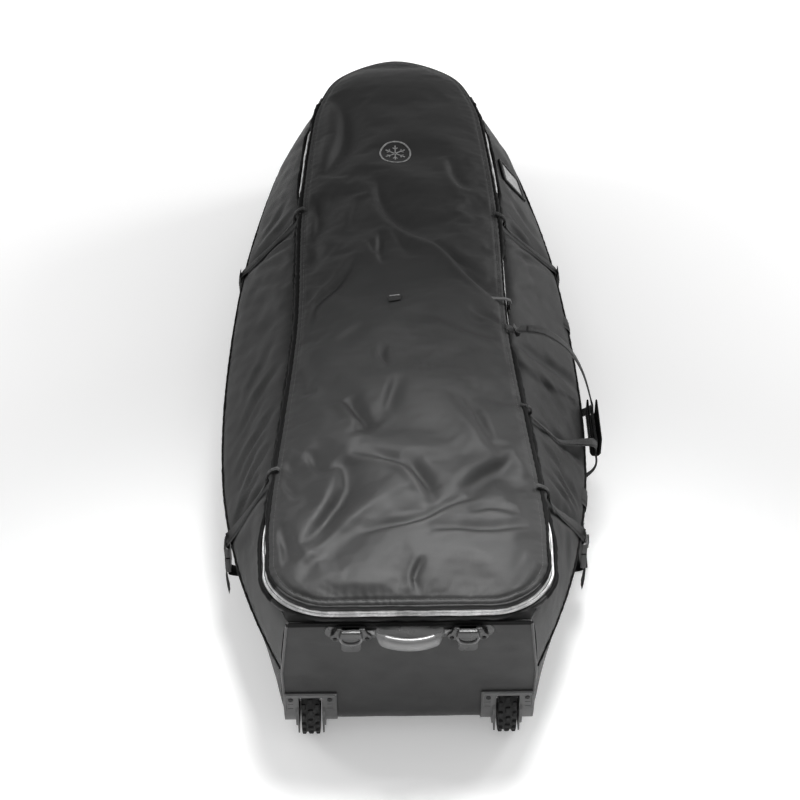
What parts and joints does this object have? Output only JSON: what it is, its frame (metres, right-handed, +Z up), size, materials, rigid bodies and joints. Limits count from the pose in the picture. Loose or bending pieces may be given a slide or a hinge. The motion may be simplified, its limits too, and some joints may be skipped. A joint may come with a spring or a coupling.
{
  "type": "wheeled snowboard bag",
  "caption": "Long padded board bag on wheels, with a zipped lid hinged at the nose, a tail handle, a carry handle, a shoulder strap and buckled compression straps.",
  "frame": {"origin": "on the flat underside of the back panel, halfway along the bag and in its middle", "axes": "+Z up out of the lid, +Y towards the nose, -Y towards the tail with its wheels, +X towards the side with the carry handle"},
  "size_m": [0.6288, 1.4826, 0.314],
  "materials": {
    "black_nylon": "woven nylon, padded, slight sheen",
    "coated_tarpaulin": "smooth PVC-coated cloth, satin",
    "lining_foam": "thin quilted lining on closed-cell foam",
    "webbing": "ribbed polypropylene webbing",
    "zip_tape": "light grey reflective strip beside the zip teeth",
    "board": "polyethylene sheet",
    "black_plastic": "moulded, finely textured",
    "soft_grip": "soft moulded grip, satin",
    "tyre_rubber": "knobbly tread",
    "steel": "ground",
    "dark_metal": "black die-cast",
    "clear_window": "clear vinyl over the black cloth"
  },
  "bodies": {
    "shell": {"axle_left": "steel", "axle_right": "steel", "back_panel": "black_nylon", "base_stiffener": "board", "base_wrap": "coated_tarpaulin", "buckle_female_lower_left": "black_plastic", "buckle_female_lower_right": "black_plastic", "buckle_female_upper_left": "black_plastic", "buckle_female_upper_right": "black_plastic", "carry_loop_back": "webbing", "carry_wrap": "webbing", "d_ring_lower": "dark_metal", "d_ring_upper": "dark_metal", "handle_base": "black_plastic", "handle_cap_left": "black_plastic", "handle_cap_right": "black_plastic", "lid_nose": "black_nylon", "name_card_window": "clear_window", "shell_edge_binding": "webbing", "shoulder_strap": "webbing", "side_left_lower": "black_nylon", "side_left_upper": "black_nylon", "side_right_lower": "black_nylon", "side_right_upper": "black_nylon", "skid_foot": "black_plastic", "skid_rail": "black_plastic", "snap_hook_lower": "dark_metal", "snap_hook_upper": "dark_metal", "strap_shell_lower_left": "webbing", "strap_shell_lower_right": "webbing", "strap_shell_upper_left": "webbing", "strap_shell_upper_right": "webbing", "tail_stiffener": "board", "wheel_housing_left": "black_plastic", "wheel_housing_right": "black_plastic", "zip_track_shell": "zip_tape"},
    "lid": {"lid_panel": "black_nylon", "lid_lining": "lining_foam", "lid_edge_binding": "webbing", "zip_track_lid": "zip_tape", "carry_loop_front": "webbing", "strap_lid_lower_right": "webbing", "strap_lid_lower_left": "webbing", "strap_lid_upper_right": "webbing", "strap_lid_upper_left": "webbing", "buckle_male_lower_right": "black_plastic", "buckle_male_lower_left": "black_plastic", "buckle_male_upper_right": "black_plastic", "buckle_male_upper_left": "black_plastic"},
    "wheel_right": {"tyre_right": "tyre_rubber", "wheel_hub_right": "black_plastic", "bearing_right_inner": "steel", "bearing_right_outer": "steel"},
    "wheel_left": {"tyre_left": "tyre_rubber", "wheel_hub_left": "black_plastic", "bearing_left_inner": "steel", "bearing_left_outer": "steel"},
    "slider": {"zip_slider": "dark_metal"},
    "pull": {"zip_pull": "webbing"},
    "grip": {"handle_grip": "soft_grip"}
  },
  "joints": [
    {"name": "lid_hinge", "type": "hinge", "parent": "shell", "child": "lid", "pos_m": [0, 0.5647, 0.29], "axis": [-1, 0, 0], "range_deg": [0, 105]},
    {"name": "wheel_right_spin", "type": "hinge", "parent": "shell", "child": "wheel_right", "pos_m": [0.149, -0.691, 0.054], "axis": [1, 0, 0], "continuous": true},
    {"name": "wheel_left_spin", "type": "hinge", "parent": "shell", "child": "wheel_left", "pos_m": [-0.149, -0.691, 0.054], "axis": [1, 0, 0], "continuous": true},
    {"name": "zip_travel", "type": "slide", "parent": "lid", "child": "slider", "axis": [0, 0.9998, -0.0221], "range_m": [0, 0.1]},
    {"name": "zip_pull_swing", "type": "hinge", "parent": "slider", "child": "pull", "pos_m": [0.1862, -0.035, 0.2815], "axis": [0, 1, 0], "range_deg": [0, 200]},
    {"name": "tail_grip_lift", "type": "slide", "parent": "shell", "child": "grip", "axis": [0, -1, 0], "range_m": [0, 0.006]}
  ]
}
